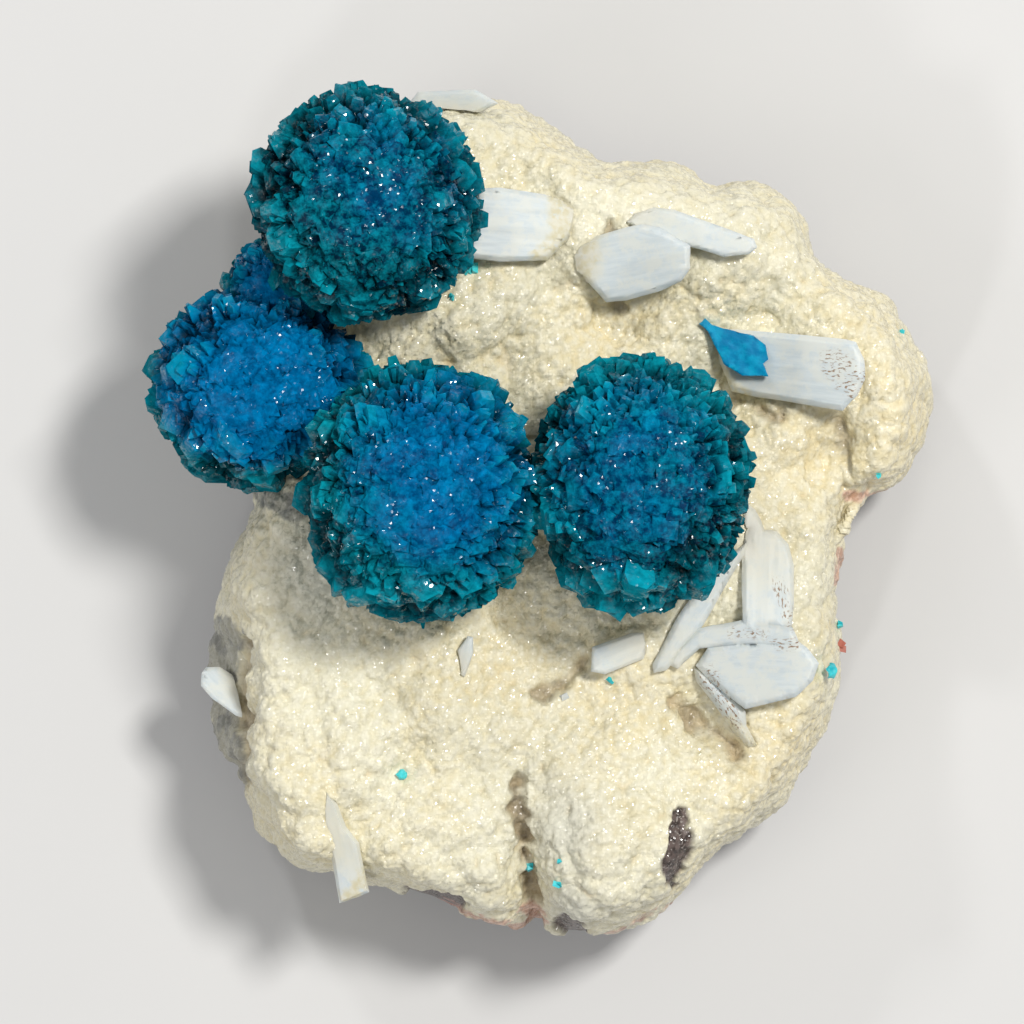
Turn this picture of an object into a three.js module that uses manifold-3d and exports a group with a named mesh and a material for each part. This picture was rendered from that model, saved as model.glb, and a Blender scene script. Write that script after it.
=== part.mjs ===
// Cavansite on its zeolite-crusted stone, in millimetres, +Z up. The origin lies on the base, under the
// middle of the specimen. The loose stone lies on its flat broken base. Four spiky balls of cavansite and
// some fifteen blades of stilbite have grown on its lumpy upper face.
import * as THREE from "three";
import { mergeVertices } from "three/addons/utils/BufferGeometryUtils.js";
import Module from "manifold-3d";

const wasm = await Module();
wasm.setup();

// ---- driving dimensions ----
const SEAT_GAP = 0.35; // clear space kept between a crystal and the stone under it
const STONE = {
  top: 15.6, // height of the upper face above the base
  rim: 7.0, // height at which the stone is widest
  rimWave: 1.3, // how far that height goes up and down round the stone
  shoulder: 2.6, // distance over which the upper face falls to the rim
  baseShare: 0.87, // width of the base, as a share of the widest outline
  rings: 16, // rings of facets on the upper face
  evening: 40, // passes that even out those facets
  wallRows: 3, // rows of facets from the rim down to the base
  wallRoughness: 0.1, // how far the broken flank goes in and out, as a share of its distance out
};
const BALLS = {
  upper: { centre: [-12.4, 21.7, 21.3], radii: [8.1, 8.2, 8.1], turn: [0.4, 0.7, 0.2], seed: 11 },
  left: { centre: [-19.7, 9.0, 14.6], radii: [7.7, 7.4, 7.6], turn: [1.1, 0.3, 0.9], seed: 23 },
  centre: { centre: [-8.6, 1.7, 23.4], radii: [8.4, 9.1, 8.4], turn: [0.2, 1.2, 0.5], seed: 37 },
  right: { centre: [6.7, 2.3, 22.6], radii: [7.8, 8.9, 8.2], turn: [0.8, 0.5, 1.3], seed: 53 },
};
const BALL_SQUARES = 4; // crystals along each edge of a ball's cube-shaped grid
// The small rosette that has grown together with the left ball.
const ROSETTE = { centre: [-18.4, 16.0, 15.2], radii: [3.9, 3.6, 4.0], turn: [0.3, 0.2, 0.6], seed: 71 };
const ROSETTE_SQUARES = 3;
// The blunt crystals of a ball: lowest and highest values, all but the first as shares of its radius.
const CRYSTAL = {
  inset: [0.1, 0.34], // how far its sides lean in
  furrow: [0.78, 0.88], // depth of the furrows between crystals
  end: [0.91, 0.99], // reach of a crystal's end
  tilt: [-0.04, 0.04], // rise of the end towards each side
  stray: [-0.07, 0.07], // unevenness of the squares
};

// The widest outline of the stone, seen from above, anticlockwise from the right.
const OUTLINE = [
  [20.7, 0.2], [22.6, 1.5], [25.0, 2.3], [26.7, 4.9], [27.6, 8.7], [26.3, 12.2], [24.5, 15.5],
  [22.4, 15.9], [19.3, 18.0], [18.1, 21.9], [14.6, 23.7], [12.0, 23.0], [9.1, 25.2], [4.4, 24.7],
  [1.2, 27.0], [-2.6, 29.4], [-6.2, 29.6], [-12.1, 27.3], [-16.6, 22.8], [-19.2, 16.5],
  [-20.2, 8.8], [-20.1, 0.8], [-22.4, -4.0], [-23.6, -10.0], [-23.2, -16.3], [-21.0, -19.6],
  [-19.7, -23.2], [-16.3, -25.4], [-14.6, -25.2], [-11.5, -26.3], [-7.3, -27.3], [-2.6, -29.6],
  [-0.5, -28.4], [1.2, -29.8], [5.2, -29.7], [9.7, -26.7], [10.7, -24.8], [15.2, -21.8],
  [18.0, -19.2], [18.5, -17.4], [20.6, -14.2], [21.1, -9.9], [20.6, -5.6], [20.9, -3.0],
];

// Broad rises and hollows of the upper face: where, how wide, how high or, below zero, how deep.
const SWELLS = [
  { at: [-8.5, 1.5], reach: 6.5, height: 1.6 }, // under the centre ball
  { at: [6.7, 2.3], reach: 6.0, height: 1.0 }, // under the right ball
  { at: [-5.0, 13.5], reach: 4.2, height: 1.6 }, // ridge between the upper and centre balls
  { at: [2.0, 22.0], reach: 6.0, height: 1.0 },
  { at: [13.0, 19.5], reach: 4.0, height: 1.0 },
  { at: [23.5, 8.5], reach: 4.0, height: 1.6 }, // right lobe
  { at: [16.5, -3.5], reach: 4.0, height: 0.8 },
  { at: [5.0, -22.5], reach: 4.8, height: 1.6 }, // block beside the cleft
  { at: [-8.0, -12.0], reach: 6.0, height: 1.0 },
  { at: [-17.0, -17.5], reach: 5.0, height: 0.8 },
  { at: [-19.5, -3.5], reach: 3.5, height: 1.2 },
  { at: [4.4, 13.6], reach: 1.9, height: -2.6 },
  { at: [13.2, 8.8], reach: 2.6, height: -2.6 }, // pit at the foot of the right blade
  { at: [1.6, -9.8], reach: 1.9, height: -1.4 },
  { at: [11.6, -14.2], reach: 2.2, height: -2.8 }, // pit under the cluster of blades
  { at: [-14.0, -22.0], reach: 2.0, height: -1.2 },
];
// Long furrows of the upper face: from, to, half width and depth at each end.
const FURROWS = [
  { from: [-1.6, -18.0], to: [-0.4, -30.5], reach: [0.9, 1.9], depth: [1.0, 6.0] }, // the cleft
  { from: [15.8, 14.0], to: [21.4, 1.0], reach: [1.3, 1.8], depth: [0.8, 2.4] }, // edge of the right lobe
  { from: [-14.5, -6.5], to: [-9.0, -19.0], reach: [1.2, 1.2], depth: [0.9, 0.7] },
  { from: [0.5, 19.0], to: [-1.5, 10.0], reach: [1.3, 1.1], depth: [0.9, 0.6] },
];
// The low ledge on the left flank lies outside this line, at the foot of a steep wall.
const LEDGE = { wall: [[-23.6, -4.0], [-21.6, -9.0], [-21.2, -21.0]], height: 9.4, steepness: 8 };
const LUMPS = { spacing: 4.2, height: 2.2 };

const BLADE_CHAMFER = 0.17; // as a share of its thickness
// Stilbite crystals seen from above: outline, thickness, and the slope of the upper face, given by two
// points of it with their heights over the stone, and by how much it leans to the left of that line.
const BLADES = {
  stilbite_top_edge: [
    {
      outline: [[-9.8, 28.6], [-8.8, 29.8], [-4.8, 29.9], [-3.2, 28.9], [-5.0, 28.0], [-9.2, 28.1]],
      thickness: 1.6,
      slope: [[-3.6, 28.6, 0.5], [-9.4, 28.8, 1.6]],
      lean: 0.2,
    },
  ],
  stilbite_beside_ball: [
    {
      outline: [
        [-6.2, 22.7], [-3.0, 22.9], [0.1, 22.4], [2.6, 21.5], [2.0, 19.6], [0.3, 17.8], [-3.0, 17.7],
        [-5.8, 18.0],
      ],
      thickness: 1.9,
      slope: [[2.0, 20.4, 0.2], [-5.6, 20.2, 2.8]],
      lean: 0.06,
    },
  ],
  stilbite_upper_pair: [
    {
      outline: [
        [0.5, 17.9], [2.2, 19.1], [5.8, 20.1], [6.9, 20.3], [8.1, 20.1], [10.2, 18.8], [10.2, 17.2],
        [9.6, 16.3], [8.3, 15.7], [5.8, 15.0], [4.4, 14.9], [3.2, 16.2],
      ],
      thickness: 1.9,
      slope: [[1.4, 17.6, 0.4], [10.0, 17.8, 3.0]],
      lean: 0.12,
    },
    {
      outline: [
        [5.8, 20.5], [6.4, 21.1], [7.7, 21.5], [9.1, 21.3], [13.1, 19.9], [14.7, 19.3], [14.9, 18.7],
        [14.3, 18.2], [12.6, 18.0], [9.8, 18.9], [7.0, 19.6],
      ],
      thickness: 1.4,
      slope: [[6.4, 20.5, 0.7], [14.6, 18.7, 2.2]],
      lean: -0.1,
    },
  ],
  stilbite_right: [
    {
      outline: [
        [11.9, 13.0], [12.9, 13.1], [21.1, 12.3], [21.8, 12.1], [22.4, 10.8], [22.4, 9.4], [21.9, 8.4],
        [20.9, 7.3], [14.9, 8.3], [13.2, 8.7], [12.4, 10.6],
      ],
      thickness: 2.2,
      slope: [[12.4, 10.8, 1.3], [22.2, 10.0, 3.1]],
      lean: 0.1,
    },
  ],
  stilbite_cluster: [
    {
      outline: [
        [14.1, 1.0], [14.8, 0.4], [15.5, -0.9], [16.3, -1.1], [17.1, -2.0], [17.5, -3.5], [17.5, -6.2],
        [17.2, -9.0], [15.0, -9.2], [13.9, -7.6], [13.8, -1.2],
      ],
      thickness: 1.8,
      slope: [[14.6, 0.6, 0.8], [15.6, -8.4, 2.0]],
      lean: -0.15,
    },
    {
      outline: [
        [14.2, -1.8], [14.0, -2.8], [12.7, -5.0], [11.2, -7.6], [8.6, -10.8], [7.7, -11.0], [7.6, -10.4],
        [9.4, -7.0], [10.9, -4.9], [12.4, -3.2],
      ],
      thickness: 2.0,
      slope: [[13.6, -2.4, 0.9], [8.2, -10.5, 0.9]],
      lean: 0,
    },
    {
      outline: [
        [10.8, -7.9], [13.9, -7.3], [17.4, -7.8], [17.8, -8.8], [17.2, -9.3], [13.8, -9.0], [10.9, -9.3],
        [9.4, -10.7], [8.7, -10.4], [9.2, -9.4],
      ],
      thickness: 1.8,
      slope: [[9.6, -9.6, 0.8], [17.4, -8.5, 2.1]],
      lean: 0,
    },
    {
      outline: [
        [10.6, -10.5], [11.5, -9.2], [13.8, -9.0], [17.7, -8.7], [18.4, -9.2], [19.2, -10.3],
        [18.8, -11.5], [17.6, -12.7], [15.9, -13.1], [14.1, -13.5], [12.4, -12.2], [11.2, -11.1],
      ],
      thickness: 2.1,
      slope: [[11.0, -10.8, 1.4], [19.0, -10.4, 2.3]],
      lean: 0.1,
    },
    {
      outline: [
        [10.5, -10.6], [11.3, -10.9], [12.6, -12.2], [14.1, -13.7], [14.2, -14.7], [15.0, -16.1],
        [14.3, -16.4], [13.3, -15.2], [12.0, -13.3], [10.7, -11.6],
      ],
      thickness: 2.4,
      slope: [[11.0, -11.0, 1.2], [14.6, -16.0, 0.8]],
      lean: 0.55,
    },
  ],
  stilbite_small_block: [
    {
      outline: [
        [3.4, -9.2], [6.2, -8.2], [7.1, -8.1], [7.3, -9.0], [7.0, -10.0], [4.3, -11.1], [3.3, -10.9],
      ],
      thickness: 1.3,
      slope: [[6.8, -9.2, 0.4], [3.6, -10.2, 1.7]],
      lean: 0.1,
    },
  ],
  stilbite_small_point: [
    {
      outline: [[-6.0, -9.4], [-5.3, -8.4], [-4.9, -8.5], [-4.9, -9.6], [-5.5, -11.3], [-6.1, -11.3]],
      thickness: 0.9,
      slope: [[-5.8, -11.0, 0.2], [-5.2, -8.7, 1.4]],
      lean: -0.2,
    },
  ],
  stilbite_left_side: [
    {
      outline: [
        [-24.1, -11.1], [-23.8, -10.7], [-22.8, -10.7], [-21.4, -11.5], [-20.6, -12.5], [-20.9, -14.3],
        [-21.6, -14.1], [-23.3, -12.9], [-24.1, -12.0],
      ],
      thickness: 1.5,
      slope: [[-21.9, -12.6, 2.0], [-23.0, -11.6, 2.4]],
      lean: 0.5,
    },
  ],
  stilbite_lower_left: [
    {
      outline: [
        [-15.2, -19.2], [-14.4, -20.2], [-13.8, -21.8], [-12.9, -22.9], [-12.6, -24.5], [-12.2, -26.4],
        [-14.3, -27.2], [-14.8, -24.2], [-15.4, -22.0], [-15.5, -20.6],
      ],
      thickness: 1.6,
      slope: [[-14.9, -20.0, 0.4], [-13.9, -24.6, 1.3]],
      lean: 0.3,
    },
  ],
};

// The bright flake of cavansite that lies on the right blade, seen from above.
const FLAKE = {
  outline: [
    [10.9, 13.4], [11.3, 13.8], [11.8, 13.3], [14.7, 12.5], [15.5, 11.9], [15.7, 10.9], [15.3, 10.6],
    [15.7, 9.7], [13.9, 9.8], [12.6, 10.6], [11.5, 12.9],
  ],
  thickness: 0.6,
};
// The two largest specks of cavansite on the crust: where, and how large.
const SPECKS = {
  cavansite_speck_right: { at: [20.0, -10.9], size: 0.65 },
  cavansite_speck_lower: { at: [-9.9, -18.1], size: 0.5 },
};

// ---- materials ----
const CRUST = new THREE.MeshStandardMaterial({ color: 0xefe5c4, roughness: 0.6, metalness: 0 });
const CAVANSITE = new THREE.MeshStandardMaterial({ color: 0x0a6ea0, roughness: 0.2, metalness: 0 });
const BRIGHT_CAVANSITE = new THREE.MeshStandardMaterial({ color: 0x0a93bd, roughness: 0.4, metalness: 0 });
const STILBITE = new THREE.MeshStandardMaterial({ color: 0xdbe4ea, roughness: 0.25, metalness: 0 });

// ---- solids and geometries ----
function withPositionsOnly(geometry) {
  geometry.deleteAttribute("normal");
  geometry.deleteAttribute("uv");
  return geometry;
}

function vectorsOf(geometry) {
  const position = geometry.getAttribute("position");
  const vectorAt = (_, i) => new THREE.Vector3().fromBufferAttribute(position, i);
  return Array.from({ length: position.count }, vectorAt);
}

function solidOf(geometry) {
  const merged = mergeVertices(withPositionsOnly(geometry), 1e-4);
  return new wasm.Manifold(
    new wasm.Mesh({
      numProp: 3,
      vertProperties: merged.attributes.position.array,
      triVerts: new Uint32Array(merged.index.array),
    }),
  );
}

function geometryOf(solid) {
  const mesh = solid.getMesh();
  const geometry = new THREE.BufferGeometry();
  geometry.setAttribute("position", new THREE.BufferAttribute(mesh.vertProperties, 3));
  geometry.setIndex(new THREE.BufferAttribute(mesh.triVerts, 1));
  geometry.computeVertexNormals();
  return geometry;
}

// A cut can leave crumbs beside the main body: only the largest body is kept.
function largestBody(solid) {
  return solid.decompose().reduce((a, b) => (a.volume() > b.volume() ? a : b));
}

function meshOf(name, solid, material) {
  const mesh = new THREE.Mesh(geometryOf(largestBody(solid)), material);
  mesh.name = name;
  return mesh;
}

// ---- repeatable randomness and lumps ----
function randomFrom(seed) {
  let state = seed;
  return () => {
    state = (Math.imul(state, 1664525) + 1013904223) >>> 0;
    return state / 4294967296;
  };
}

function latticeNoise(i, j, k, salt) {
  let h = Math.imul(i, 374761393) ^ Math.imul(j, 668265263);
  h ^= Math.imul(k, 1274126177) ^ Math.imul(salt, 2246822519);
  h = Math.imul(h ^ (h >>> 13), 1274126177);
  return ((h ^ (h >>> 16)) >>> 0) / 4294967296;
}

// Height from 0 to 1 of round lumps that stand side by side, one to each cell of a lattice.
function lumps(x, y, z, spacing) {
  const cell = [x, y, z].map((v) => Math.floor(v / spacing));
  let nearest = Infinity;
  for (let a = -1; a <= 1; a++)
    for (let b = -1; b <= 1; b++)
      for (let c = -1; c <= 1; c++) {
        const [i, j, k] = [cell[0] + a, cell[1] + b, cell[2] + c];
        const dx = (i + latticeNoise(i, j, k, 1)) * spacing - x;
        const dy = (j + latticeNoise(i, j, k, 2)) * spacing - y;
        const dz = (k + latticeNoise(i, j, k, 3)) * spacing - z;
        nearest = Math.min(nearest, dx * dx + dy * dy + dz * dz);
      }
  return Math.max(0, 1 - nearest / (spacing * spacing));
}

const mix = (a, b, t) => a + (b - a) * t;
const clamp01 = (t) => Math.min(1, Math.max(0, t));

// ---- the stone ----
const RIM = (() => {
  const corners = OUTLINE.map(([x, y]) => new THREE.Vector3(x, y, 0));
  const curve = new THREE.CatmullRomCurve3(corners, true, "centripetal");
  return curve.getSpacedPoints(6 * STONE.rings).slice(0, -1);
})();

// Distance from a place on the upper face to the rim, seen from above.
function distanceToRim(x, y) {
  const place = new THREE.Vector3(x, y, 0);
  const nearest = new THREE.Vector3();
  return Math.min(
    ...RIM.map((corner, i) => {
      const side = new THREE.Line3(corner, RIM[(i + 1) % RIM.length]);
      return side.closestPointToPoint(place, true, nearest).distanceTo(place);
    }),
  );
}

function furrowDepth(furrow, x, y) {
  const [fx, fy] = furrow.from;
  const [dx, dy] = [furrow.to[0] - fx, furrow.to[1] - fy];
  const along = clamp01(((x - fx) * dx + (y - fy) * dy) / (dx * dx + dy * dy));
  const across = Math.hypot(x - fx - along * dx, y - fy - along * dy);
  const reach = mix(furrow.reach[0], furrow.reach[1], along);
  return mix(furrow.depth[0], furrow.depth[1], along) * Math.exp(-((across / reach) ** 2));
}

// Where the wall above the ledge runs at a given y.
function wallOfLedge(y) {
  const [upper, bend, lower] = LEDGE.wall;
  const [from, to] = y > bend[1] ? [upper, bend] : [bend, lower];
  return mix(from[0], to[0], clamp01((y - from[1]) / (to[1] - from[1])));
}

function upperFace(x, y) {
  let z = STONE.top + LUMPS.height * (lumps(x, y, 0, LUMPS.spacing) - 0.6);
  for (const { at, reach, height } of SWELLS)
    z += height * Math.exp(-((x - at[0]) ** 2 + (y - at[1]) ** 2) / (reach * reach));
  for (const furrow of FURROWS) z -= furrowDepth(furrow, x, y);
  return Math.min(z, LEDGE.height + LEDGE.steepness * Math.max(0, x - wallOfLedge(y)));
}

function rimHeight(x, y) {
  return STONE.rim + STONE.rimWave * Math.sin(3 * Math.atan2(y, x) + 0.6);
}

// Height of the stone at a place of its upper face.
function ground(x, y) {
  const outward = 1 - Math.min(1, distanceToRim(x, y) / STONE.shoulder);
  return mix(rimHeight(x, y), upperFace(x, y), Math.sqrt(1 - outward ** 2.6));
}

// Six-sided rings of points about the middle, spread over the outline and evened out.
function upperPlaces() {
  const places = [new THREE.Vector3()];
  const neighbours = [[]];
  const triangles = [];
  const indexAt = (ring, i) => (ring === 0 ? 0 : 1 + 3 * ring * (ring - 1) + (i % (6 * ring)));
  for (let ring = 1; ring <= STONE.rings; ring++) {
    for (let i = 0; i < 6 * ring; i++) {
      const onRim = (i * STONE.rings) / ring;
      const [before, after] = [RIM[Math.floor(onRim)], RIM[Math.ceil(onRim) % RIM.length]];
      places.push(before.clone().lerp(after, onRim % 1).multiplyScalar(ring / STONE.rings));
      neighbours.push([]);
    }
    for (let i = 0; i < 6 * ring; i++) {
      const inner = i - Math.floor(i / ring);
      const [a, b, c] = [indexAt(ring - 1, inner), indexAt(ring, i), indexAt(ring, i + 1)];
      triangles.push([a, b, c]);
      if ((i + 1) % ring) triangles.push([a, c, indexAt(ring - 1, inner + 1)]);
    }
  }
  for (const [a, b, c] of triangles) {
    neighbours[a].push(b, c);
    neighbours[b].push(c, a);
    neighbours[c].push(a, b);
  }
  for (let pass = 0; pass < STONE.evening; pass++)
    for (let i = 0; i < places.length - RIM.length; i++) {
      places[i].set(0, 0, 0);
      for (const k of neighbours[i]) places[i].addScaledVector(places[k], 1 / neighbours[i].length);
    }
  return { places, triangles };
}

function stoneGeometry() {
  const { places, triangles } = upperPlaces();
  const around = RIM.length;
  const points = places.map(({ x, y }) => new THREE.Vector3(x, y, ground(x, y)));
  for (let row = 1; row <= STONE.wallRows; row++) {
    const down = row / STONE.wallRows;
    const above = points.length - around;
    RIM.forEach(({ x, y }, i) => {
      const z = rimHeight(x, y) * (1 - down);
      const rough = row < STONE.wallRows ? STONE.wallRoughness * (lumps(x, y, z, LUMPS.spacing) - 0.7) : 0;
      const share = mix(1, STONE.baseShare, down ** 1.5) + rough;
      points.push(new THREE.Vector3(x * share, y * share, z));
      const next = (i + 1) % around;
      triangles.push([above + i, above + around + i, above + next]);
      triangles.push([above + next, above + around + i, above + around + next]);
    });
  }
  const base = points.length - around;
  const middle = points.push(new THREE.Vector3()) - 1;
  for (let i = 0; i < around; i++) triangles.push([middle, base + ((i + 1) % around), base + i]);
  return new THREE.BufferGeometry().setFromPoints(points).setIndex(triangles.flat());
}

// The stone swollen by the seat gap: what crystals are cut back to.
function swollen(stone) {
  const grown = stone.clone();
  grown.computeVertexNormals();
  const normal = grown.getAttribute("normal");
  const moved = vectorsOf(grown).map((point, i) =>
    point.addScaledVector(new THREE.Vector3().fromBufferAttribute(normal, i), SEAT_GAP),
  );
  return solidOf(grown.setFromPoints(moved));
}

// ---- cavansite ----
// A ball of crystals that radiate from its middle. One blunt four-sided crystal stands on each square of
// a cube-shaped grid that is blown up to an ellipsoid, with furrows between the crystals.
function rosette({ centre, radii, turn, seed }, squares) {
  const random = randomFrom(seed);
  const between = ([low, high]) => mix(low, high, random());
  const grid = mergeVertices(withPositionsOnly(new THREE.BoxGeometry(2, 2, 2, squares, squares, squares)));
  const attitude = new THREE.Euler(...turn);
  const corners = vectorsOf(grid).map((corner) => {
    const even = corner.toArray().map((c) => Math.tan((c * Math.PI) / 4));
    const stray = new THREE.Vector3(between(CRYSTAL.stray), between(CRYSTAL.stray), between(CRYSTAL.stray));
    return corner.set(...even).normalize().applyEuler(attitude).add(stray).normalize();
  });
  const points = corners.map((way) => way.clone().multiplyScalar(between(CRYSTAL.furrow)));
  const triangles = [];
  for (let square = 0; square < 6 * squares * squares; square++) {
    const [a, b, d, , c] = grid.index.array.slice(6 * square, 6 * square + 5);
    const foot = [a, b, c, d];
    const middle = new THREE.Vector3();
    foot.forEach((k) => middle.add(corners[k]));
    middle.normalize();
    const inset = between(CRYSTAL.inset);
    const end = between(CRYSTAL.end);
    const tilt = [between(CRYSTAL.tilt), between(CRYSTAL.tilt)];
    const tip = foot.map((k, i) => {
      const rise = end + tilt[0] * (i < 2 ? 1 : -1) + tilt[1] * (i % 3 === 0 ? 1 : -1);
      return points.push(corners[k].clone().lerp(middle, inset).normalize().multiplyScalar(rise)) - 1;
    });
    triangles.push(tip[0], tip[1], tip[3], tip[1], tip[2], tip[3]);
    foot.forEach((k, i) => {
      const next = (i + 1) % 4;
      triangles.push(k, foot[next], tip[next], k, tip[next], tip[i]);
    });
  }
  const ball = new THREE.BufferGeometry().setFromPoints(points);
  ball.setIndex(triangles);
  return solidOf(ball.scale(...radii).translate(...centre));
}

// The space on the far side of the plane where two balls meet, half a seat gap beyond it.
function beyondMeeting(ball, other) {
  const [a, b] = [new THREE.Vector3(...ball.centre), new THREE.Vector3(...other.centre)];
  const way = b.clone().sub(a).normalize();
  const meeting = a.clone().lerp(b, ball.radii[0] / (ball.radii[0] + other.radii[0]));
  const block = new THREE.BoxGeometry(40, 40, 20).translate(0, 0, 10 - SEAT_GAP / 2);
  block.applyQuaternion(new THREE.Quaternion().setFromUnitVectors(new THREE.Vector3(0, 0, 1), way));
  return solidOf(block.translate(meeting.x, meeting.y, meeting.z));
}

function clearOfBall({ centre, radii }) {
  const grown = radii.map((r) => r + SEAT_GAP);
  return solidOf(new THREE.IcosahedronGeometry(1, 2).scale(...grown).translate(...centre));
}

// ---- stilbite ----
// Height of a blade's upper face at a place.
function faceHeight({ slope: [low, high], lean }, x, y) {
  const [dx, dy] = [high[0] - low[0], high[1] - low[1]];
  const length = Math.hypot(dx, dy);
  const along = ((x - low[0]) * dx + (y - low[1]) * dy) / length ** 2;
  const leftward = ((y - low[1]) * dx - (x - low[0]) * dy) / length;
  const [z0, z1] = [low, high].map(([px, py, lift]) => ground(px, py) + lift);
  return mix(z0, z1, along) + lean * leftward;
}

// A plate with this outline, its chamfered upper face on a blade's slope or clear above it.
function plate(outline, thickness, chamfer, blade, lift) {
  const shape = new THREE.Shape(outline.map(([x, y]) => new THREE.Vector2(x, y)));
  const flat = new THREE.ExtrudeGeometry(shape, {
    depth: thickness - 2 * chamfer,
    bevelEnabled: chamfer > 0,
    bevelThickness: chamfer,
    bevelSize: chamfer,
    bevelOffset: -chamfer,
    bevelSegments: 1,
  });
  flat.translate(0, 0, chamfer - thickness);
  const points = vectorsOf(flat).map((p) => p.setZ(p.z + faceHeight(blade, p.x, p.y) + lift));
  return solidOf(flat.setFromPoints(points));
}

function bladeSolid(blade) {
  return plate(blade.outline, blade.thickness, BLADE_CHAMFER * blade.thickness, blade, 0);
}

function flakeSolid() {
  const carrier = BLADES.stilbite_right[0];
  return plate(FLAKE.outline, FLAKE.thickness, 0, carrier, FLAKE.thickness + SEAT_GAP);
}

// ---- assembly ----
const stone = stoneGeometry();
const matrix = solidOf(stone.clone());
const seat = swollen(stone);

const specimen = new THREE.Group();
specimen.add(meshOf("matrix", matrix, CRUST));

for (const [name, ball] of Object.entries(BALLS)) {
  let solid = rosette(ball, BALL_SQUARES);
  if (name === "left") {
    solid = solid.add(rosette(ROSETTE, ROSETTE_SQUARES)).subtract(clearOfBall(BALLS.upper));
  }
  for (const other of Object.values(BALLS)) {
    if (other !== ball) solid = solid.subtract(beyondMeeting(ball, other));
  }
  specimen.add(meshOf("cavansite_" + name, solid.subtract(seat), CAVANSITE));
}

for (const [name, blades] of Object.entries(BLADES)) {
  let solid = blades.map(bladeSolid).reduce((a, b) => a.add(b));
  for (const ball of Object.values(BALLS)) solid = solid.subtract(clearOfBall(ball));
  specimen.add(meshOf(name, solid.subtract(seat), STILBITE));
}

specimen.add(meshOf("cavansite_flake", flakeSolid().subtract(seat), BRIGHT_CAVANSITE));

for (const [name, { at: [x, y], size }] of Object.entries(SPECKS)) {
  const speck = new THREE.IcosahedronGeometry(size, 0).translate(x, y, ground(x, y) + 0.6 * size);
  specimen.add(meshOf(name, solidOf(speck).subtract(seat), BRIGHT_CAVANSITE));
}

export default specimen;
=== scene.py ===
"""Cavansite on its zeolite-crusted stone: the fine surface and the looks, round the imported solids."""

import itertools

import bmesh
import bpy
import numpy as np
from mathutils import Matrix, Vector
from mathutils.bvhtree import BVHTree


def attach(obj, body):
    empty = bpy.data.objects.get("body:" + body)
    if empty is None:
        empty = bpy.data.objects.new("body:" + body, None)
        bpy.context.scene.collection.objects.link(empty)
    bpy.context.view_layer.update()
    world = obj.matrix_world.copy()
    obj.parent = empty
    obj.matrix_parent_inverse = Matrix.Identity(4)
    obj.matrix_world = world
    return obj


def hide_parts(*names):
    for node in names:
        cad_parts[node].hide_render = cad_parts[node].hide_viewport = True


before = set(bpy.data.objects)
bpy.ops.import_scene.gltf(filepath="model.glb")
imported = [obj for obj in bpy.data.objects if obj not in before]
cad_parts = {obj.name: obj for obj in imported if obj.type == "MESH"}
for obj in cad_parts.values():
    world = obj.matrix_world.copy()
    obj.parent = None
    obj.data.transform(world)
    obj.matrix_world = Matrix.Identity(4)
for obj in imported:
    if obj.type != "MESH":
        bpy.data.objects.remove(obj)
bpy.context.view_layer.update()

# All lengths are in millimetres unless a comment says otherwise, and meshes are scaled by MM. Places in plan
# are seen from above. Waves and lumps are given as height, spacing and salt, the number that sets one
# pattern of noise apart from another.
MM = 0.001
MASK = 0xFFFFFFFF
HASH_FACTORS = (374761393, 668265263, 1274126177, 2246822519)  # large and odd, to mix the bits of a cell
DOWN = Vector((0, 0, -1))
ABOVE_ALL = 60
WELD = 0.002  # corners closer than this are one

# ---- the stone ----
STONE_VOXEL = 0.17
# The fine mesh of the stone is too large for one piece. It is four, split here in plan and closed at this
# height, where each cut edge is drawn in to this share of its distance from the split.
TILE_CUT = (4.0, -1.0)
TILE_DEPTH = 1.5
TILE_DRAW = 0.85
LARGE_LUMPS = ((0.75, 2.6, 11), (0.32, 1.3, 12))  # rounded lumps of the crust, on top of the solid's own
SMALL_LUMPS = ((0.2, 0.66, 13), (0.15, 0.42, 14))
LUMP_MIDDLE = 0.55  # the share of a lump's height that leaves the surface where it was
FRACTURE = ((0.5, 3.1, 41), (0.3, 1.3, 42))  # ridges of the bare stone, folded from waves
FRACTURE_DEPTH = 0.35
FRACTURE_GRAIN = ((0.08, 0.6, 43),)
CRUST_FOOT = 4.6  # height on the flank at which the crust ends
CRUST_FOOT_WAVES = ((1.3, 5.0, 31), (0.5, 1.2, 32))
BARE_DEPTH = 0.15  # how thick the crust is round its bare patches
BLADES_ABOVE = 2  # no blade comes near the stone lower than this
NEAR_BLADE = 3.5  # how far the search for blades goes
BLADE_CALM = (0.2, 1.4)  # distances from a blade between which the large lumps grow to full height
BLADE_SWELL = (0.35, 1.2, 0.15)  # and between which the crust swells towards it, by how much
UNDER_BLADE = 0.2  # the crust stays this far below the upper faces of the blades
OVER_BLADE = 4.0  # and is lowered where it stands less than this above them
AROUND_BLADE = ((0, 0), (0.25, 0), (-0.25, 0), (0, 0.25), (0, -0.25))  # also this far beside them
EDGE_WAVES = ((0.3, 0.9), (0.18, 0.4))  # height and spacing of the ragged edges of patches
EDGE_SOFT = 0.12  # half the width over which a patch fades out
BASALT = (  # bare dark stone in the crust: two ends, half width
    ((9.75, -20.7), (9.6, -22.6), 0.5),
    ((9.5, -22.4), (9.15, -24.3), 0.9),
    ((9.1, -24.6), (8.95, -25.8), 0.35),
    ((-9.3, -26.9), (-6.0, -27.1), 0.6),
    ((-20.6, -22.2), (-16.6, -25.6), 0.3),
    ((1.5, -28.6), (2.6, -29.4), 0.6),
    ((21.1, -9.0), (21.2, -10.4), 0.3),
)
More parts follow.
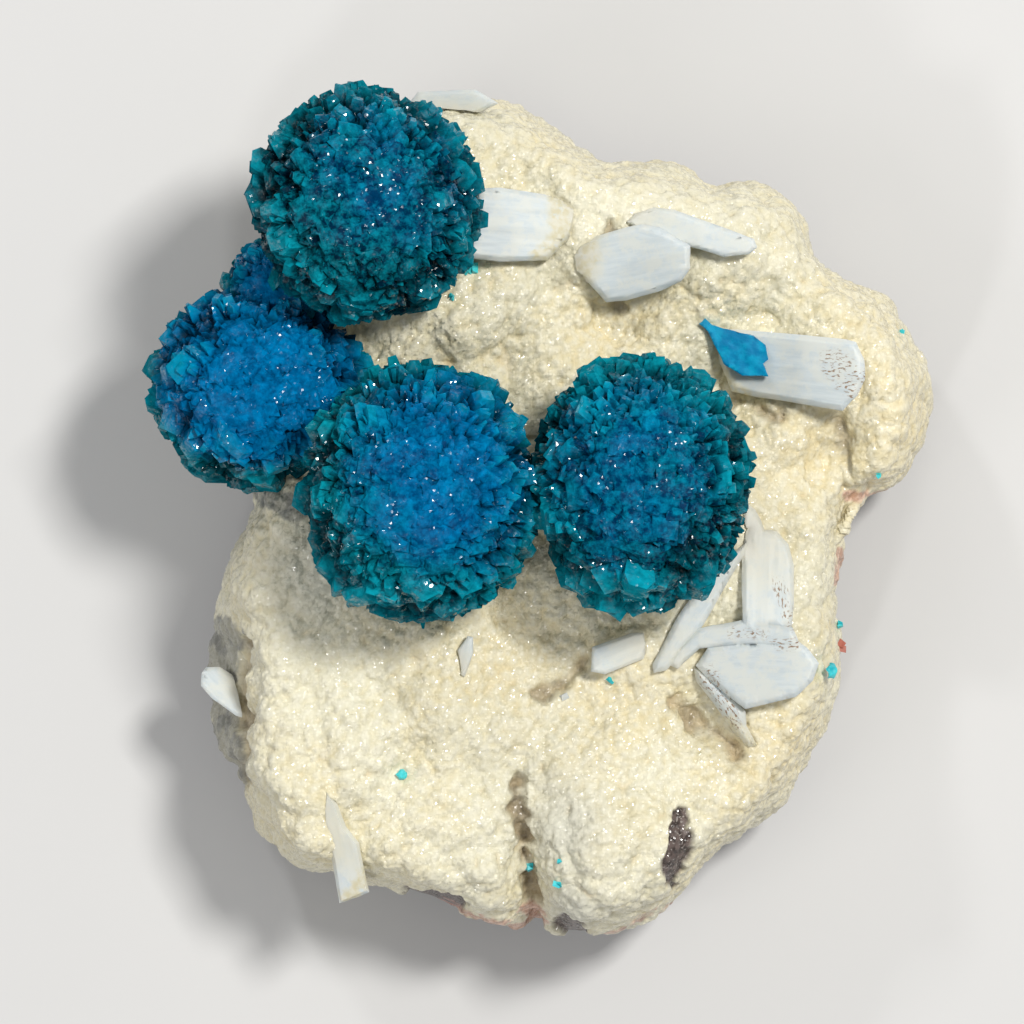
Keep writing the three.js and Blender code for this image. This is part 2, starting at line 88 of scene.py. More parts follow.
RED = (  # reddish stone: two ends, half width
    ((-1.0, -27.6), (-0.3, -28.6), 0.5),
    ((-3.4, -28.9), (-1.2, -29.2), 0.4),
    ((-7.0, -27.4), (-3.6, -28.9), 0.3),
    ((4.4, -29.6), (9.8, -27.2), 0.15),
    ((20.7, -4.6), (20.9, -2.6), 0.3),
    ((21.4, 1.3), (24.6, 1.6), 0.3),
)
CLEFTS = (  # furrows and pits between the lumps of the crust, carved and darkened with painted shade: two ends, half width, depth
    ((-2.0, -18.8), (-1.4, -23.0), 0.4, 1.0),
    ((-1.4, -23.0), (-0.4, -28.4), 0.5, 1.2),
    ((-20.9, -8.7), (-21.0, -19.0), 0.35, 0.7),
    ((-0.6, -12.3), (1.2, -11.8), 0.45, 0.8),
    ((1.2, -11.8), (3.0, -10.0), 0.6, 0.6),
    ((9.6, -13.4), (13.4, -16.2), 0.6, 0.9),
    ((4.6, 20.6), (5.2, 14.8), 0.5, 0.6),
    ((13.6, 8.2), (16.6, 6.8), 0.5, 0.6),
    ((20.4, 6.6), (21.6, 3.6), 0.5, 0.6),
)
CLEFT_WAVES = ((0.5, 1.3, 45), (0.25, 0.6, 46))
CLEFT_SHADE = (0.25, 0.5)  # how dark the painted shade of a cleft is: of itself, and for each millimetre of its depth
CLEFT_DARK_FOOT = (6.0, 8.0)  # heights on the flank between which the painted shade fades out
CLEFT_DEEP_FOOT = (5.0, 8.0)  # and the depth
SMOOTH = (((4.4, -19.0), (4.8, -25.4), 0.7),)  # a broken crystal face in the crust
WARM = (  # where the crust is yellower: centre, reach
    ((-2.0, -9.5), 5.5),
    ((4.5, -11.5), 4.5),
    ((19.0, 5.0), 5.0),
    ((5.0, 13.0), 4.0),
    ((23.0, 6.5), 6.0),
    ((16.0, -16.0), 4.0),
)
GREY_AND_SHADOW = (  # where the crust is greyer: thinner over the stone, and in the two spots below and left of the centre ball a painted shadow of that ball: centre, reach
    ((1.5, -21.5), 3.4),
    ((-12.0, -2.0), 5.0),
    ((-14.5, -3.0), 4.5),
    ((2.0, -27.6), 2.0),
)
LEDGE_AND_SHADE = (  # grey stone frosted with white, on the low left ledge darkened also as painted shade: two ends, half width
    ((-22.7, -8.6), (-22.9, -12.0), 1.5),
    ((-22.9, -12.0), (-22.0, -18.6), 1.2),
    ((-19.8, 1.8), (-17.4, 0.4), 0.9),
)

# ---- the balls ----
BALLS = {
    # centre, radii, direction of the blue pole, how far the blue reaches, lightness, seed
    "cavansite_upper": ((-12.4, 21.7, 21.3), (8.1, 8.2, 8.1), (0.3, 0.4, 0.85), 0.45, -0.3, 1),
    "cavansite_left": ((-19.7, 9.0, 14.6), (7.7, 7.4, 7.6), (-0.1, 0.4, 0.9), 2.0, 0.0, 2),
    "cavansite_centre": ((-8.6, 1.7, 23.4), (8.4, 9.1, 8.4), (0.35, 0.3, 0.88), 0.72, -0.12, 3),
    "cavansite_right": ((6.7, 2.3, 22.6), (7.8, 8.9, 8.2), (-0.1, 0.15, 1.0), 0.5, -0.24, 4),
}
FAN = ((-18.4, 16.0, 15.2), (3.9, 3.6, 4.0), (0.0, 0.4, 0.9), 1.0, -0.1, 5)  # grown into the left ball
BALL_GROUPS = 190  # large groups of blocks on a whole ball
FAN_GROUPS = 60
# Levels of a ball's blocks: how many groups as a share of the large ones, blocks to a group, half width as a
# share of the groups' spacing, reach as a share of the radius, and the lowest height on the unit ball.
BLOCK_LEVELS = ((1.0, 4, 0.50, 0.975, -1.0), (3.4, 2, 0.32, 0.945, -1.0), (8.0, 1, 0.22, 0.96, 0.55))
BLOCK_LENGTH = 0.5  # share of the radius
BLOCK_STRAY = 0.12  # how far the groups stray from even directions
BLOCK_LEAN = 0.06  # how far the blocks lean away from their group
BLOCK_SHIFT = 0.62  # how far they stand beside it, and how wide they are, as shares of the first block
BLOCK_STEPS = (-0.07, 0.045)  # how far the ends of groups step back and forth
BLOCK_DROP = (-0.01, 0.1)  # how far the blocks beside the first stand back
BLOCK_SLANT = 0.32  # the steepest slope of the ends
BLOCK_WIDTH = (0.75, 1.15)  # shares of the level's half width
BLOCK_FLATNESS = (0.6, 0.95)  # the other half width as a share of the first
BLOCK_JITTER = (0.78, 1.12)  # how far the corners of a block are from its middle, as shares
CHISEL_PINCH = 0.9  # how much of its thickness the sharpest end has lost
CHISEL_SLOPE = (0.1, 1.6)  # share of the length by which the bevel is lowered, and how much more for a chisel
CALM_TOP = (0.95, 0.6)  # heights on the unit ball between which the ends go from level to stepped
CALM_RELIEF = 0.1  # what is left of the steps at the top
BULGES = (3.2, 0.6, 0.2)  # lumps in the ball: spacing, middle, height as a share of the radius
COARSE_SIDE = (-0.45, -0.85, -0.1)  # the side on which the blocks are largest
COARSER = (0.9, 0.55, 0.3)  # their width on the other side, and how much is added for large and small blocks
CORE_SHARE = 0.85  # radius of the core as a share of the ball's
CORE_LUMPS = (1.1, 91, 0.5, 0.05)  # spacing, salt, middle, height as a share of the radius
CORE_TOP = (0.7, 0.95, 0.06)  # heights on the unit ball between which the core rises, and by how much
BALL_FOOT = 7.0  # blocks do not end lower than this
CLEAR_OF_BALL = 0.86  # nor further inside another ball than this share of its radius
INTO_STONE = 0.9  # nor further inside the stone than this
SEARCH_STONE = 3.0  # how far the search for the stone goes

# ---- the stilbites ----
BLADES = {  # lengthwise axes of the blades of each node, seen from above
    "stilbite_top_edge": [((-9.6, 29.0), (-3.4, 29.0))],
    "stilbite_beside_ball": [((-5.8, 20.4), (2.2, 20.0))],
    "stilbite_upper_pair": [((0.8, 16.6), (9.8, 18.4)), ((6.2, 20.8), (14.6, 18.6))],
    "stilbite_right": [((12.2, 10.9), (22.2, 9.9))],
    "stilbite_cluster": [
        ((15.9, 0.0), (15.7, -8.6)),
        ((13.6, -2.4), (8.2, -10.5)),
        ((9.6, -9.6), (17.4, -8.5)),
        ((11.0, -10.8), (19.0, -10.9)),
        ((11.0, -11.2), (14.6, -15.8)),
    ],
    "stilbite_small_block": [((3.6, -10.2), (6.8, -9.0))],
    "stilbite_small_point": [((-5.8, -11.0), (-5.2, -8.7))],
    "stilbite_left_side": [((-23.7, -11.2), (-21.2, -13.6))],
    "stilbite_lower_left": [((-15.0, -20.0), (-13.4, -27.0))],
}
WHOLE_BLADE = "stilbite_lower_left"  # the solid is cut short where the stone bulges over it
WHOLE_OUTLINE = (
    (-15.2, -19.2), (-15.5, -20.6), (-15.4, -22.0), (-14.8, -24.2), (-14.3, -27.2),
    (-12.2, -26.4), (-12.6, -24.5), (-12.9, -22.9), (-13.8, -21.8), (-14.4, -20.2),
)
WHOLE_TOP = (27.3, 0.2226, 0.3655)  # height at the origin, and slopes to the right and away
WHOLE_RINGS = ((1.6, 0.0), (0.4, 0.0), (0.0, 0.25))  # how far below the top, how far inside the outline
BLADE_STEPS = (0.6, 0.14, 0.4)  # size of a blade's small faces: along it, across it and in height
GROOVES = ((0.04, 0.7, 71), (0.025, 0.3, 72))
GROOVE_STRETCH = (0.12, 1.0, 0.3)  # along the blade, across it and in height
GROOVE_APART = 7.0  # sets the grooves of one axis apart from those of the next
CREASE_ANGLE = 28  # degrees
FOOT_FADE = (1.3, 0.1)  # distances from the crust between which a blade takes on its colour
FOOT_SEARCH = 1.5
SPECKS = (  # where the blades are speckled brown: two ends, half width
    ((16.4, -4.7), (17.3, -7.8), 0.4),
    ((13.4, -8.1), (17.6, -9.1), 0.35),
    ((11.6, -11.4), (13.6, -14.6), 0.6),
    ((20.2, 10.8), (22.2, 8.6), 0.9),
)
VEILS = (  # where the crust has grown over the ends of the blades: two ends, half width
    ((1.9, 21.6), (2.1, 18.0), 1.7),
    ((0.3, 18.2), (2.0, 14.2), 1.1),
    ((12.2, 9.6), (15.0, 7.3), 0.7),
    ((13.0, -15.0), (14.6, -16.6), 0.9),
    ((-13.6, -26.8), (-12.0, -25.0), 0.6),
)

# ---- the flake, the specks and the grains ----
FLAKE_STEP, SPECK_STEP = 0.2, 0.15
FLAKE_WAVES = ((0.06, 0.8, 81), (0.04, 0.35, 82))
SPECK_WAVES = ((0.1, 0.3, 83),)
CAVANSITE_GRAINS = (  # place in plan, half size, how many crystals
    (-0.9, -24.8, 0.3, 3),
    (0.95, -26.1, 0.36, 2),
    (1.0, -24.3, 0.22, 2),
    (4.65, -11.7, 0.26, 2),
    (20.9, -7.6, 0.3, 2),
    (23.5, 2.7, 0.2, 2),
    (25.2, 13.1, 0.2, 2),
    (-6.5, 15.2, 0.24, 2),
    (-4.9, 17.3, 0.4, 3),
)
STILBITE_GRAINS = ((1.5, -12.4, 0.4, 1), (-13.8, -26.1, 0.45, 2))
RED_GRAINS = ((21.2, -9.3, 0.4, 2),)
GRAIN_SEED = 9

# ---- the stage ----
FLOOR_HALF = 1500
FLOOR_DROP = 0.1  # how far the floor is below the stone
LAMPS = (  # name, direction, distance and size in metres, watts, colour
    ("key", (0.5, 0.4, 1.2), 0.7, 0.12, 4.1, (1.0, 0.98, 0.94)),
    ("fill", (-0.6, -0.3, 0.8), 0.9, 0.3, 0.9, (1.0, 0.98, 0.96)),
    ("upper_glint", (-0.5, 0.9, 0.9), 0.7, 0.06, 0.7, (1.0, 1.0, 1.0)),
    ("lower_glint", (-0.4, -0.9, 0.9), 0.7, 0.06, 0.7, (1.0, 1.0, 1.0)),
)
ROOM_LIGHT = 0.3
CAMERA_PLACE = (-2.2, 0.24, 800)
SEEN_WIDTH = 71.7  # width of the view at this height
SEEN_HEIGHT = 15
SENSOR = 36


# ---- numbers and meshes ----
def lattice(cell, salt):
    """A repeatable number from 0 to 1 for each cell of a lattice."""
    a, b, c, d = HASH_FACTORS
    h = (cell[:, 0] * a + cell[:, 1] * b + cell[:, 2] * c + salt * d) & MASK
    h = ((h ^ (h >> 13)) * c) & MASK
    return ((h ^ (h >> 16)) & MASK) / (MASK + 1)


def lumps(points, spacing, salt):
    """Heights from 0 to 1 of round lumps that stand side by side, one to each cell of a lattice."""
    cell = np.floor(points / spacing).astype(np.int64)
    nearest = np.full(len(points), np.inf)
    for step in itertools.product((-1, 0, 1), repeat=3):
        beside = cell + np.array(step)
        spot = np.stack([lattice(beside, 3 * salt + axis) for axis in range(3)], axis=1)
        away = (beside + spot) * spacing - points
        nearest = np.minimum(nearest, (away**2).sum(axis=1))
    return np.clip(1 - nearest / spacing**2, 0, 1)


def waves(points, spacing, salt):
    """Smooth noise from -1 to 1."""
    place = points / spacing
    cell = np.floor(place).astype(np.int64)
    t = place - cell
    t = t * t * (3 - 2 * t)
    total = np.zeros(len(points))
    for corner in itertools.product((0, 1), repeat=3):
        share = np.prod(np.where(np.array(corner) == 1, t, 1 - t), axis=1)
        total += share * lattice(cell + np.array(corner), salt)
    return 2 * total - 1


def sum_of_waves(points, levels):
    return sum(height * waves(points, spacing, salt) for height, spacing, salt in levels)


def sum_of_lumps(points, levels):
    return sum(height * (lumps(points, spacing, salt) - LUMP_MIDDLE) for height, spacing, salt in levels)


def smoothstep(low, high, value):
    t = np.clip((value - low) / (high - low), 0, 1)
    return t * t * (3 - 2 * t)


def unit(vectors):
    return vectors / np.linalg.norm(vectors, axis=-1, keepdims=True)


def to_segment(points, start, end):
    """Distance from points to a segment, both seen from above."""
    start, end = np.array(start), np.array(end)
    way = end - start
    along = np.clip((points[:, :2] - start) @ way / (way @ way), 0, 1)
    return np.linalg.norm(points[:, :2] - start - along[:, None] * way, axis=1)


def strips(points, segments, salt):
    """From 0 to 1 within ragged strips."""
    ragged = sum_of_waves(points, [(*level, salt + k) for k, level in enumerate(EDGE_WAVES)])
    inside = np.zeros(len(points))
    for start, end, half_width in segments:
        beyond = to_segment(points, start, end) - half_width + ragged
        inside = np.maximum(inside, smoothstep(EDGE_SOFT, -EDGE_SOFT, beyond))
    return inside


def spots(points, places):
    """From 0 to 1 towards the middle of soft round spots."""
    inside = np.zeros(len(points))
    for centre, reach in places:
        away = np.linalg.norm(points[:, :2] - np.array(centre), axis=1)
        inside = np.maximum(inside, np.exp(-((away / reach) ** 2)))
    return inside


def places_of(mesh):
    values = np.empty(3 * len(mesh.vertices))
    mesh.vertices.foreach_get("co", values)
    return values.reshape(-1, 3) / MM


def normals_of(mesh):
    values = np.empty(3 * len(mesh.vertices))
    mesh.vertices.foreach_get("normal", values)
    return values.reshape(-1, 3)


def quads_of(mesh):
    corners = np.empty(len(mesh.loops), np.int32)
    mesh.loops.foreach_get("vertex_index", corners)
    return corners.reshape(-1, 4)


def set_places(mesh, points):
    mesh.vertices.foreach_set("co", (points * MM).ravel())
    mesh.update()


def paint(mesh, **values):
    """Keeps numbers for each vertex under a name, for the material to read."""
    for name, numbers in values.items():
        attribute = mesh.attributes.new(name, "FLOAT", "POINT")
        attribute.data.foreach_set("value", np.asarray(numbers, np.float32))


def paint_lie(mesh, ways):
    """Keeps a direction for each vertex, towards which the material draws the normal."""
    attribute = mesh.attributes.new("lie", "FLOAT_VECTOR", "POINT")
    attribute.data.foreach_set("vector", np.asarray(ways, np.float32).ravel())


def mesh_of(name, points, sizes, corners):
    """A mesh from points, the number of corners of each face, and the faces' corners in a row."""
    mesh = bpy.data.meshes.new(name)
    mesh.vertices.add(len(points))
    mesh.vertices.foreach_set("co", (points * MM).ravel())
    mesh.loops.add(len(corners))
    mesh.loops.foreach_set("vertex_index", corners)
    mesh.polygons.add(len(sizes))
    mesh.polygons.foreach_set("loop_start", np.cumsum(sizes) - sizes)
    mesh.polygons.foreach_set("loop_total", sizes)
    mesh.update(calc_edges=True)
    mesh.shade_flat()
    return mesh


def link(name, data):
    made = bpy.data.objects.new(name, data)
    bpy.context.scene.collection.objects.link(made)
    return made


def piece(name, mesh, material, replaced=()):
    mesh.name = name
    mesh.materials.clear()
    mesh.materials.append(material)
    made = link(name, mesh)
    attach(made, "root")
    if replaced:
        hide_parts(*replaced)


def ring_between(low, high, count):
    """Faces between two rings of corners that start at these numbers."""
    return [(low + k, low + (k + 1) % count, high + (k + 1) % count, high + k) for k in range(count)]


def whole_blade():
    """The blade whose solid is cut short, in full: rings of its outline, and a lid at each end."""
    outline = np.array(WHOLE_OUTLINE)
    along = unit(np.roll(outline, -1, axis=0) - np.roll(outline, 1, axis=0))
    inward = np.column_stack([-along[:, 1], along[:, 0]])
    rings = []
    for below, inside in WHOLE_RINGS:
        ring = outline + inside * inward
        top = WHOLE_TOP[0] + ring @ np.array(WHOLE_TOP[1:])
        rings.append(np.column_stack([ring, top - below]))
    count = len(outline)
    faces = [range(count)[::-1], range(2 * count, 3 * count)]
    faces += ring_between(0, count, count) + ring_between(count, 2 * count, count)
    corners = np.concatenate([list(face) for face in faces])
    return mesh_of(WHOLE_BLADE, np.concatenate(rings), [len(face) for face in faces], corners)


def welded(node):
    """A node's mesh with its shared corners merged, as a bmesh."""
    shape = bmesh.new()
    shape.from_mesh(whole_blade() if node == WHOLE_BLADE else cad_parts[node].data)
    bmesh.ops.remove_doubles(shape, verts=shape.verts, dist=WELD * MM)
    return shape


def with_modifiers(mesh, *modifiers):
    carrier = link("carrier", mesh)
    for kind, settings in modifiers:
        modifier = carrier.modifiers.new(kind, kind)
        for key, value in settings.items():
            setattr(modifier, key, value)
    graph = bpy.context.evaluated_depsgraph_get()
    made = bpy.data.meshes.new_from_object(carrier.evaluated_get(graph))
    bpy.data.objects.remove(carrier)
    return made


def tree_of(nodes):
    """One search tree of several nodes' faces, in millimetres."""
    corners, faces = [], []
    for node in nodes:
        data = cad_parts[node].data
        first = len(corners)
        corners += [v.co / MM for v in data.vertices]
        faces += [[first + k for k in face.vertices] for face in data.polygons]
    return BVHTree.FromPolygons(corners, faces)


def distances(tree, points, most):
    found = np.full(len(points), most)
    for k, point in enumerate(points):
        hit = tree.find_nearest(Vector(point), most)
        if hit[3] is not None:
            found[k] = hit[3]
    return found


def crystals(template, faces, base, axis, across, sizes):
    """Copies of a template crystal. Each stands on its base along its axis, and is sized along across,
    the third direction and the axis. Returns points, face sizes and face corners."""
    third = np.cross(axis, across)
    local = template[None] * sizes[:, None, :]
    points = base[:, None] + local[..., 0:1] * across[:, None] + local[..., 1:2] * third[:, None]
    points = points + local[..., 2:3] * axis[:, None]
    flat = np.concatenate([np.array(face) for face in faces])
    corners = flat[None] + len(template) * np.arange(len(base))[:, None]
    face_sizes = np.tile([len(face) for face in faces], len(base))
    return points.reshape(-1, 3), face_sizes, corners.ravel()


def square_to(ways, axis):
    """Directions brought square to an axis each."""
    return unit(ways - (ways * axis).sum(axis=1, keepdims=True) * axis)


# ---- materials ----
class Nodes:
    """A material's node tree, with short ways to add to it."""

    def __init__(self, name):
        self.material = bpy.data.materials.new(name)
        self.material.use_nodes = True
        self.tree = self.material.node_tree
        self.tree.nodes.clear()
        self.shader = self.add("ShaderNodeBsdfPrincipled")
        output = self.add("ShaderNodeOutputMaterial")
        self.tree.links.new(self.shader.outputs[0], output.inputs["Surface"])
        place = self.add("ShaderNodeTexCoord").outputs["Object"]
        self.place = self.vectors("SCALE", place, 1 / MM)

    def add(self, kind, **settings):
        node = self.tree.nodes.new(kind)
        for key, value in settings.items():
            if hasattr(node, key) and key not in node.inputs:
                setattr(node, key, value)
            else:
                self.put(node.inputs[key], value)
        return node

    def put(self, socket, value):
        if isinstance(value, bpy.types.NodeSocket):
            self.tree.links.new(value, socket)
        else:
            socket.default_value = value

    def set(self, **values):
        for key, value in values.items():
            self.put(self.shader.inputs[key.replace("_", " ")], value)

    def math(self, operation, a, b=0.0):
        node = self.add("ShaderNodeMath", operation=operation)
        self.put(node.inputs[0], a)
        self.put(node.inputs[1], b)
        return node.outputs[0]

    def vectors(self, operation, a, b):
        node = self.add("ShaderNodeVectorMath", operation=operation)
        self.put(node.inputs[0], a)
        self.put(node.inputs[3 if operation == "SCALE" else 1], b)
        return node.outputs[1 if operation == "DOT_PRODUCT" else 0]

    def noise(self, scale, detail=2.0, vector=None, roughness=0.5):
        node = self.add("ShaderNodeTexNoise", Scale=scale, Detail=detail, Roughness=roughness)
        self.put(node.inputs["Vector"], self.place if vector is None else vector)
        return node.outputs["Fac"]

    def painted(self, name):
        return self.add("ShaderNodeAttribute", attribute_name=name).outputs["Fac"]

    def remap(self, value, low, high, to_low=0.0, to_high=1.0):
        node = self.add("ShaderNodeMapRange", interpolation_type="SMOOTHSTEP")
        for socket, number in zip(node.inputs, (value, low, high, to_low, to_high)):
            self.put(socket, number)
        return node.outputs[0]

    def mix(self, factor, a, b):
        node = self.add("ShaderNodeMix", data_type="RGBA")
        self.put(node.inputs[0], factor)
        for socket, colour in ((node.inputs[6], a), (node.inputs[7], b)):
            self.put(socket, (*colour, 1.0) if isinstance(colour, tuple) else colour)
        return node.outputs[2]

    def facets(self, scale):
        """Heights, in millimetres, of small planes that each tilt their own way."""
        cells = self.add("ShaderNodeTexVoronoi", Vector=self.place, Scale=scale)
        tilt = self.vectors("SUBTRACT", cells.outputs["Color"], (0.5, 0.5, 0.5))
        away = self.vectors("SUBTRACT", self.place, cells.outputs["Position"])
        return self.vectors("DOT_PRODUCT", tilt, away)

    def soft_normal(self):
        """The face's normal, drawn towards the painted direction as far as that is long."""
        own = self.add("ShaderNodeNewGeometry").outputs["Normal"]
        lie = self.add("ShaderNodeAttribute", attribute_name="lie").outputs["Vector"]
        return self.vectors("NORMALIZE", self.vectors("ADD", own, lie), (0, 0, 0))

    def bump(self, height, strength, distance, normal=None, target="Normal"):
        node = self.add("ShaderNodeBump", Height=height, Strength=strength, Distance=distance * MM)
        if normal is not None:
            self.put(node.inputs["Normal"], normal)
        self.put(self.shader.inputs[target], node.outputs[0])


def crust_material():
    """Sugary ivory zeolite, with painted warm shade in its recesses and clefts and painted highlights on the
    tops of its small lumps. The bare stone below it and in patches is basalt.
    """
    n = Nodes("crust")
    ivory = n.mix(n.remap(n.noise(0.16, 3), 0.38, 0.62), (0.72, 0.68, 0.50), (0.71, 0.64, 0.42))
    ivory = n.mix(n.painted("warm"), ivory, (0.75, 0.64, 0.38))
    # greyer crust, and a painted shadow of the centre ball
    ivory = n.mix(n.painted("grey_and_shadow"), ivory, (0.52, 0.52, 0.45))
    # painted highlight: the tops of the small lumps whiter
    ivory = n.mix(n.painted("tint"), ivory, (0.80, 0.78, 0.66))
    # painted warm shade for the recesses of the crust
    tan_shade = n.mix(n.noise(0.7, 3), (0.62, 0.46, 0.24), (0.75, 0.63, 0.42))
    crust = n.mix(n.painted("recess_shade"), ivory, tan_shade)
    # dark grey stone, darkened also as painted shade of the low ledge
    ledge_and_shade = n.mix(n.noise(1.2, 3), (0.15, 0.15, 0.14), (0.36, 0.36, 0.31))
    crust = n.mix(n.painted("ledge_and_shade"), crust, ledge_and_shade)
    basalt = n.mix(n.remap(n.noise(2.2, 4), 0.35, 0.65), (0.035, 0.024, 0.021), (0.14, 0.105, 0.095))
    basalt = n.mix(n.remap(n.noise(5.0, 2), 0.60, 0.66), basalt, (0.30, 0.27, 0.25))
    red = n.mix(n.remap(n.noise(2.5, 3), 0.4, 0.6), (0.38, 0.14, 0.10), (0.66, 0.38, 0.30))
    # painted shade for the clefts and pits
    shade = n.mix(n.remap(n.noise(1.5, 3), 0.35, 0.65), (0.08, 0.06, 0.04), (0.30, 0.25, 0.17))
    crust = n.mix(n.painted("dark"), crust, shade)
    colour = n.mix(n.painted("rock"), crust, basalt)
    colour = n.mix(n.painted("red"), colour, red)
    n.set(Base_Color=colour, Roughness=0.4, IOR=1.5, Specular_IOR_Level=0.25)
    n.set(Coat_Weight=0.6, Coat_Roughness=0.12)
    n.bump(n.facets(6.5), 0.9, 1.0, target="Coat Normal")
    n.bump(n.facets(4.8), 0.6, 1.0, n.soft_normal())
    return n.material


def cavansite_material():
    """Crystals deep blue towards the ball's pole, teal at its rims, with painted shade in the gaps between
    the blocks and on the underside and a painted highlight at the blocks' ends, glassy in patches.
    """
    n = Nodes("cavansite")
    mottle = n.math("MULTIPLY", n.remap(n.noise(1.8, 5, roughness=0.7), 0.3, 0.7), 0.75)
    shade = n.math("ADD", mottle, n.painted("tint"))
    blue = n.mix(shade, (0.000, 0.045, 0.14), (0.000, 0.18, 0.43))
    teal = n.mix(shade, (0.000, 0.015, 0.035), (0.003, 0.28, 0.36))
    patchy = n.math("ADD", n.painted("pole"), n.math("MULTIPLY", n.noise(0.35, 2), 0.5))
    colour = n.mix(n.remap(patchy, 0.45, 1.05), teal, blue)
    # painted shade: darker deeper in the ball, between the blocks
    gap_shade = n.mix(0.27, (0.0, 0.0, 0.0), colour)
    colour = n.mix(n.remap(n.painted("depth"), 0.87, 1.01), gap_shade, colour)
    # painted highlight: the ends of the blocks lighter cyan
    colour = n.mix(n.painted("tip_highlight"), colour, (0.003, 0.40, 0.52))
    # painted shade: the underside of the ball darker
    colour = n.mix(n.math("MULTIPLY", n.painted("low"), 0.35), colour, (0.0, 0.02, 0.03))
    glassy = n.math("MULTIPLY", n.remap(n.noise(0.7, 3), 0.45, 0.58, 0.05, 1.0), n.painted("gloss"))
    n.set(Base_Color=colour, Roughness=0.28, Specular_IOR_Level=0.0)
    n.set(Coat_Weight=glassy, Coat_Roughness=0.11, Coat_IOR=1.5)
    n.bump(n.facets(3.0), 0.4, 1.0, n.soft_normal())
    n.bump(n.facets(6.0), 1.0, 1.0, target="Coat Normal")
    return n.material


def turquoise_material(name, dark, light):
    n = Nodes(name)
    colour = n.mix(n.remap(n.noise(1.2, 3), 0.35, 0.65), dark, light)
    n.set(Base_Color=colour, Roughness=0.35, IOR=1.55)
    n.set(Subsurface_Weight=0.2, Subsurface_Radius=(0.1, 0.7, 1.0), Subsurface_Scale=0.4 * MM)
    n.bump(n.noise(5.0, 3), 0.4, 0.05)
    return n.material


def red_material():
    n = Nodes("red_grain")
    n.set(Base_Color=n.mix(n.noise(3.0, 3), (0.30, 0.06, 0.04), (0.55, 0.20, 0.14)), Roughness=0.45)
    return n.material


def stilbite_material():
    """Milky, faintly blue crystal with fine lines along its length and brown specks near some ends."""
    n = Nodes("stilbite")

    def lined(stretch):
        """Places along and across the blade, drawn out along it."""
        along = n.math("MULTIPLY", n.painted("along"), stretch)
        return n.add("ShaderNodeCombineXYZ", X=along, Y=n.painted("across")).outputs[0]

    streak = n.noise(3.5, 3, lined(0.12))
    milk = n.mix(n.remap(streak, 0.35, 0.65), (0.66, 0.73, 0.76), (0.74, 0.80, 0.82))
    colour = n.mix(n.remap(n.noise(0.7, 5, roughness=0.7), 0.4, 0.6), milk, (0.78, 0.81, 0.78))
    colour = n.mix(n.math("MULTIPLY", n.painted("foot"), 0.6), colour, (0.80, 0.76, 0.60))
    grown = n.mix(n.remap(n.noise(2.0, 3), 0.35, 0.65), (0.71, 0.66, 0.46), (0.80, 0.78, 0.66))
    patches = n.remap(n.noise(1.3, 4, roughness=0.7), 0.32, 0.5)
    colour = n.mix(n.math("MULTIPLY", patches, n.painted("veil")), colour, grown)
    dots = n.remap(n.noise(7.0, 4, lined(0.4)), 0.53, 0.63)
    colour = n.mix(n.math("MULTIPLY", dots, n.painted("specks")), colour, (0.33, 0.22, 0.14))
    n.set(Base_Color=colour, Roughness=0.45, IOR=1.5, Specular_IOR_Level=0.12, Transmission_Weight=0.22)
    n.set(Subsurface_Weight=0.5, Subsurface_Radius=(0.9, 0.95, 1.0), Subsurface_Scale=0.6 * MM)
    n.bump(streak, 0.3, 0.03)
    return n.material


# ---- the stone ----
def remeshed_stone():
    """The stone's solid, rounded and cut into fine even squares."""
    shape = welded("matrix")
    mesh = bpy.data.meshes.new("matrix_crust")
    shape.to_mesh(mesh)
    shape.free()
    mesh.transform(Matrix.Diagonal((1 / MM, 1 / MM, 1 / MM, 1)))
    mesh = with_modifiers(
        mesh,
        ("SUBSURF", {"levels": 2, "render_levels": 2}),
        ("REMESH", {"mode": "VOXEL", "voxel_size": STONE_VOXEL}),
    )
    mesh.transform(Matrix.Diagonal((MM, MM, MM, 1)))
    return mesh


def furrows(points):
    """How dark the painted shade of the clefts is and how deep they are at each point."""
    shade, depth = np.zeros(len(points)), np.zeros(len(points))
    for start, end, half_width, deep in CLEFTS:
        away = to_segment(points, start, end) + sum_of_waves(points, CLEFT_WAVES)
        inside = np.exp(-((np.maximum(away, 0) / half_width) ** 2))
        shade = np.maximum(shade, min(1, CLEFT_SHADE[0] + CLEFT_SHADE[1] * deep) * inside)
        depth = np.maximum(depth, deep * inside)
    height = points[:, 2]
    return shade * smoothstep(*CLEFT_DARK_FOOT, height), depth * smoothstep(*CLEFT_DEEP_FOOT, height)


def sink_under(blades, points, near_blades):
    """Lowers the crust that would cover the upper faces of the blades."""
    for k in np.flatnonzero(near_blades < NEAR_BLADE):
        for x, y in AROUND_BLADE:
            hit = blades.ray_cast(Vector((points[k, 0] + x, points[k, 1] + y, ABOVE_ALL)), DOWN)[0]
            if hit is not None and hit.z - UNDER_BLADE < points[k, 2] < hit.z + OVER_BLADE:
                points[k, 2] = hit.z - UNDER_BLADE


